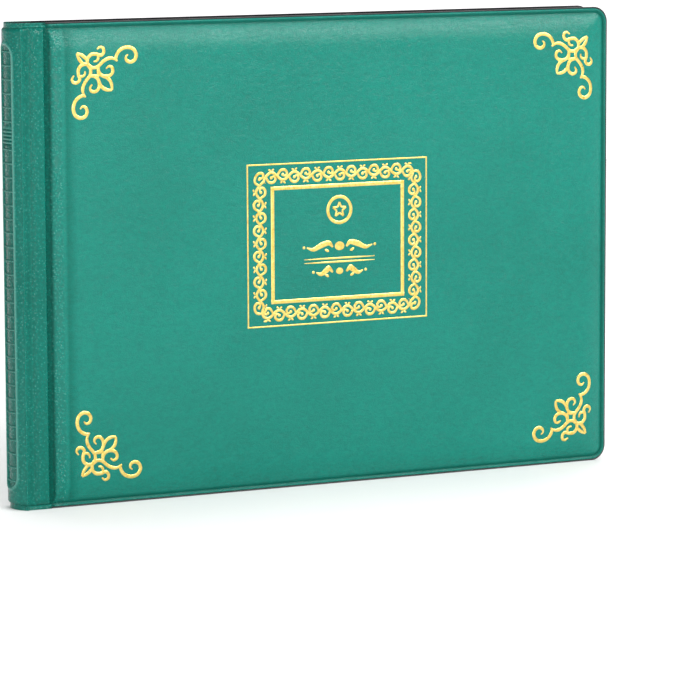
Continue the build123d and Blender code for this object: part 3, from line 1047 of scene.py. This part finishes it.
def make_root(leaf):
    """Soft root of a leaf, next to the binding."""
    along = np.linspace(-1.6, 3.6, 21)
    ups = np.linspace(leaf.bottom + 0.1, leaf.top - 0.1, 12)
    u, z = grid_of(along, ups)
    thick = leaf.half + 0.04
    front = leaf.at(u, -leaf.half + thick, z)
    back = leaf.at(u, -leaf.half - thick, z)
    root = add_mesh(f"{leaf.name}_soft_root", *grid_solid(front, back), SHEET_BLACK)
    start = leaf.at(np.array(-0.75), np.array(-leaf.half), np.array(0.0)) * MM
    end = leaf.at(np.array(0.75), np.array(-leaf.half), np.array(0.0)) * MM
    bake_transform(root)


def make_filled_pockets(leaf):
    """Film that swells over the coins, and flaps that lie on it."""
    grid = leaf.grid
    along = np.arange(FIELD_START - 1, FIELD_END + 1.1, FILM_STEP)
    ups = np.arange(FIELD_BOTTOM - 1, FIELD_TOP + 1.1, FILM_STEP)
    u, z = grid_of(along, ups)
    height = film_height(u, z, grid)
    front, back = leaf.at(u, height + 0.08, z), leaf.at(u, height, z)
    clear = add_mesh(f"{leaf.name}_swollen_film", *grid_solid(front, back), CLEAR_FILM)
    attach(clear, leaf.name)
    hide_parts(f"{leaf.name}_pocket_film")

    pile = Pile()
    for left, right, bottom, top in pocket_cells(grid):
        middle = (left + right) / 2
        half = (right - left - grid["seam"]) / 2
        v, w = grid_of(np.linspace(-1, 1, 17), np.linspace(0, 1, 9))
        up = top - w * FLAP_HEIGHT
        reach = half - w * grid["taper"] / 2
        along = middle + v * reach
        lift = film_height(along, up, grid) + 0.10 + 0.04 * w
        pile.add(*grid_solid(leaf.at(along, lift + 0.06, up), leaf.at(along, lift, up)))
    flaps = add_mesh(f"{leaf.name}_smoked_flaps", pile.verts, pile.faces, SMOKED_FILM)
    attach(flaps, leaf.name)
    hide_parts(f"{leaf.name}_flaps")


# ======================= Coins =======================

def ellipse_bump(x, y, centre, size, turn):
    """Rounded bump of elliptical outline, from 0 outside to 1 in the middle."""
    c, s = math.cos(turn), math.sin(turn)
    dx, dy = x - centre[0], y - centre[1]
    a, b = (dx * c + dy * s) / size[0], (-dx * s + dy * c) / size[1]
    return np.sqrt(unit(1 - a * a - b * b))


def beaded_ring(x, y, radius, count, size):
    """Ring of small round beads."""
    angle = np.arctan2(y, x)
    step = 2 * np.pi / count
    offset = ((angle + step / 2) % step - step / 2) * radius
    return np.sqrt(unit(1 - (offset / size) ** 2 - ((np.hypot(x, y) - radius) / size) ** 2))


def wreath(x, y, radius, count, length, width):
    """Ring of slanted leaves."""
    relief = np.zeros_like(x)
    for k in range(count):
        angle = 2 * np.pi * k / count
        centre = (radius * math.cos(angle), radius * math.sin(angle))
        for lean in (0.45, -0.45):
            leaf = ellipse_bump(x, y, centre, (length, width), angle + np.pi / 2 + lean)
            relief = np.maximum(relief, leaf)
    return relief


def sprig_relief(x, y):
    """Leafy sprig inside a ring of beads, on a coin of radius 1."""
    relief = 0.6 * ellipse_bump(x, y, (0.0, -0.05), (0.03, 0.62), 0.0)
    for k in range(5):
        up = -0.42 + 0.2 * k
        for sign in (-1, 1):
            leaf = ellipse_bump(x, y, (sign * 0.2, up + 0.12), (0.21, 0.075), sign * 0.65)
            relief = np.maximum(relief, leaf)
    relief = np.maximum(relief, ellipse_bump(x, y, (0, 0.6), (0.07, 0.14), 0.0))
    return np.maximum(relief, 0.8 * beaded_ring(x, y, 0.86, 60, 0.032))


def shield_relief(x, y):
    """Plain quartered shield inside a wreath."""
    half_width = 0.36 * np.sqrt(unit(1 - unit((0.05 - y) / 0.62) ** 2))
    inside = np.minimum(half_width - np.abs(x), 0.36 - y)
    body = smooth_step(inside / 0.06)
    border = smooth_step(inside / 0.03) - smooth_step((inside - 0.06) / 0.03)
    quarters = unit(np.maximum(1 - np.abs(x) / 0.035, 1 - np.abs(y - 0.02) / 0.035)) * body
    studs = np.zeros_like(x)
    for sx in (-0.17, 0.17):
        for sy in (-0.2, 0.2):
            studs = np.maximum(studs, ellipse_bump(x, y, (sx, sy), (0.07, 0.07), 0))
    relief = np.maximum.reduce([0.45 * body, border, 0.85 * quarters, 0.9 * studs])
    outside = smooth_step((-inside - 0.02) / 0.05)
    relief = np.maximum(relief, wreath(x, y, 0.68, 26, 0.11, 0.045) * outside)
    return np.maximum(relief, 0.6 * beaded_ring(x, y, 0.87, 64, 0.028))


def star_relief(x, y):
    """Rayed star inside a laurel wreath."""
    angle, radius = np.arctan2(y, x), np.hypot(x, y)
    fold = np.abs((angle - np.pi / 2) % (2 * np.pi / 8) - np.pi / 8) / (np.pi / 8)
    tip = 0.20 + 0.28 * fold**2
    star = unit((tip - radius) / tip) ** 0.6 * (0.55 + 0.45 * fold)
    ring = smooth_step((radius - 0.36) / 0.05) * smooth_step((0.58 - radius) / 0.05)
    rays = (0.5 + 0.5 * np.cos(angle * 32)) * ring
    relief = np.maximum(star, 0.45 * rays)
    relief = np.maximum(relief, wreath(x, y, 0.71, 30, 0.105, 0.042))
    return np.maximum(relief, 0.7 * beaded_ring(x, y, 0.885, 80, 0.024))


def coin_solid(radius, relief, rings, spokes):
    """Coin on its back: points, faces and relief height from 0 to 1 at each point."""
    steps = np.concatenate([np.linspace(0.02, 0.90, rings), [0.915, 0.93, 0.945, 0.985, 1.0]])
    rim = np.concatenate([np.zeros(rings), [0.0, 0.55, 1.0, 1.0, 0.7]])
    angles = np.linspace(0, 2 * np.pi, spokes, endpoint=False)
    r, a = grid_of(steps, angles)
    x, y = r * np.cos(a), r * np.sin(a)
    level = np.maximum(relief(x, y) * (r < 0.905), rim[:, None] + 0 * a)
    top = np.stack([x * radius, y * radius, COIN_FIELD + COIN_STRIKE * level], -1).reshape(-1, 3)
    under = np.stack([np.cos(angles) * radius, np.sin(angles) * radius, np.full(spokes, COIN_UNDER)], -1)
    index = np.arange(len(top)).reshape(r.shape)
    beside = np.roll(index, -1, axis=1)
    faces = np.stack([index[:-1], beside[:-1], beside[1:], index[1:]], -1).reshape(-1, 4).tolist()
    base = len(top)
    faces.append(index[0].tolist())
    for k in range(spokes):
        after = (k + 1) % spokes
        faces.append([int(index[-1, k]), int(index[-1, after]), base + after, base + k])
    faces.append([base + k for k in range(spokes)][::-1])
    heights = np.concatenate([level.reshape(-1), np.full(spokes, 0.6)])
    return np.vstack([top, under]), faces, heights


def make_coins(leaf, node, kinds):
    """Coins of a leaf. kinds gives name, relief, material and the rows they lie in."""
    grid = leaf.grid
    rings, spokes = (26, 96) if grid is SMALL else (34, 132)
    for kind, relief, material, rows in kinds:
        verts, faces, heights = coin_solid(grid["coin"], relief, rings, spokes)
        pile, levels = Pile(), []
        for number, (left, right, bottom, top) in enumerate(pocket_cells(grid)):
            if number % grid["rows"] not in rows:
                continue
            turn = 0.10 * math.sin(number * 2.3)
            c, s = math.cos(turn), math.sin(turn)
            across = verts[:, 0] * c - verts[:, 1] * s
            up = verts[:, 0] * s + verts[:, 1] * c
            across = across * (-leaf.side)
            pile.add(leaf.at((left + right) / 2 - across, verts[:, 2], (bottom + top) / 2 + up), faces)
            levels.append(heights)
        coins = add_mesh(kind, pile.verts, pile.faces, material, sharp=35)
        attribute = coins.data.attributes.new("relief", "FLOAT", "POINT")
        attribute.data.foreach_set("value", np.concatenate(levels).astype(np.float32))
        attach(coins, leaf.name)
        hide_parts(node)


def make_leaves():
    for number in range(1, 11):
        leaf = Leaf(number)
        dress(f"{leaf.name}_sheet", SHEET_BLACK)
        dress(f"{leaf.name}_pocket_film", CLEAR_FILM)
        dress(f"{leaf.name}_flaps", SMOKED_FILM)
        make_welds(leaf)
        make_root(leaf)
        if leaf.filled:
            make_filled_pockets(leaf)
    make_coins(Leaf(5), "small_coins", [("small_sprig_coins", sprig_relief, PALE_COIN, (1, 3)),
                                        ("small_shield_coins", shield_relief, WARM_COIN, (0, 2))])
    make_coins(Leaf(6), "large_coins", [("large_star_coins", star_relief, WARM_COIN, (0, 1, 2))])


# ======================= Stage, light and camera =======================
CAMERA_PLACE = (-0.6772, -1.3354, 0.2521)
CAMERA_ANGLES = (27.27, -7.62, -0.21)
CAMERA_LENS = 203.2
WORLD_ABOVE, WORLD_BELOW = 0.34, 1.3


def make_stage():
    """A plain pale floor, with a world that is soft grey above the horizon and white below it."""
    x, y = grid_of(np.linspace(-1100, 1400, 5), np.linspace(-1000, 1200, 5))
    top = np.stack([x, y, 0 * x], -1)
    floor = add_mesh("floor", *grid_solid(top, top - (0, 0, 8)), floor_paper())
    world = bpy.data.worlds.new("soft_white")
    bpy.context.scene.world = world
    world.use_nodes = True
    nodes, links = world.node_tree.nodes, world.node_tree.links
    direction = nodes.new("ShaderNodeTexCoord")
    parts = nodes.new("ShaderNodeSeparateXYZ")
    links.new(direction.outputs["Generated"], parts.inputs[0])
    strength = nodes.new("ShaderNodeMapRange")
    horizon = (("From Min", -0.02), ("From Max", 0.05), ("To Min", WORLD_BELOW), ("To Max", WORLD_ABOVE))
    for key, number in horizon:
        strength.inputs[key].default_value = number
    links.new(parts.outputs["Z"], strength.inputs["Value"])
    background = nodes["Background"]
    background.inputs["Color"].default_value = (1, 1, 1, 1)
    links.new(strength.outputs["Result"], background.inputs["Strength"])


def add_light(name, place, target, size, power):
    """Soft rectangular light, aimed at a target, in metres and watts."""
    light = bpy.data.lights.new(name, "AREA")
    light.shape = "RECTANGLE"
    light.size, light.size_y = size
    light.energy = power
    lamp = bpy.data.objects.new(name, light)
    bpy.context.scene.collection.objects.link(lamp)
    place, target = np.array(place), np.array(target)
    lamp.matrix_world = aimed(place, target - place, 0.0)


def aimed(place, direction, roll):
    """Matrix of a light or camera that looks along a direction."""
    direction = np.asarray(direction, float)
    direction = direction / np.linalg.norm(direction)
    right = np.cross(direction, (0, 0, 1))
    right /= np.linalg.norm(right)
    up = np.cross(right, direction)
    c, s = math.cos(roll), math.sin(roll)
    right, up = right * c + up * s, up * c - right * s
    matrix = Matrix.Identity(4)
    for row in range(3):
        matrix[row][:] = right[row], up[row], -direction[row], place[row]
    return matrix


def make_lights():
    add_light("soft_top", (-0.35, -0.45, 1.35), (0, 0, 0.05), (1.0, 0.6), 4)
    add_light("soft_right", (0.68, -1.17, 0.90), (0, 0, 0.17), (1.5, 0.45), 26)
    add_light("soft_left", (-0.36, -1.75, 0.30), (-0.08, 0, 0.09), (0.30, 0.45), 6)
    add_light("soft_spine", (-1.45, -0.95, 0.30), (-0.1, 0, 0.09), (0.4, 0.5), 4)
    add_light("soft_back", (0.7, 0.9, 1.5), (0.6, 1.1, 0.0), (2.4, 1.0), 24)


def make_camera():
    """Camera at the album's left front, a little above it, with a long lens."""
    yaw, pitch, roll = (math.radians(angle) for angle in CAMERA_ANGLES)
    data = bpy.data.cameras.new("camera")
    data.sensor_width = 36
    data.lens = CAMERA_LENS
    data.clip_end = 20
    camera = bpy.data.objects.new("camera", data)
    bpy.context.scene.collection.objects.link(camera)
    direction = (math.sin(yaw) * math.cos(pitch), math.cos(yaw) * math.cos(pitch), math.sin(pitch))
    camera.matrix_world = aimed(CAMERA_PLACE, direction, roll)
    bpy.context.scene.camera = camera


make_stage()
make_lights()
make_camera()
bpy.context.scene.view_settings.view_transform = "Standard"
make_cover("front", FRONT)
make_cover("back", BACK)
make_hinge("front", FRONT)
make_hinge("back", BACK)
make_spine()
for row_name, row_sign in (("top", 1), ("bottom", -1)):
    for column_name, column_sign in (("left", -1), ("right", 1)):
        make_corner_ornament(f"{row_name}_{column_name}", column_sign, row_sign)
make_title_frame()
make_scroll_border()
make_emblem()
make_leaves()
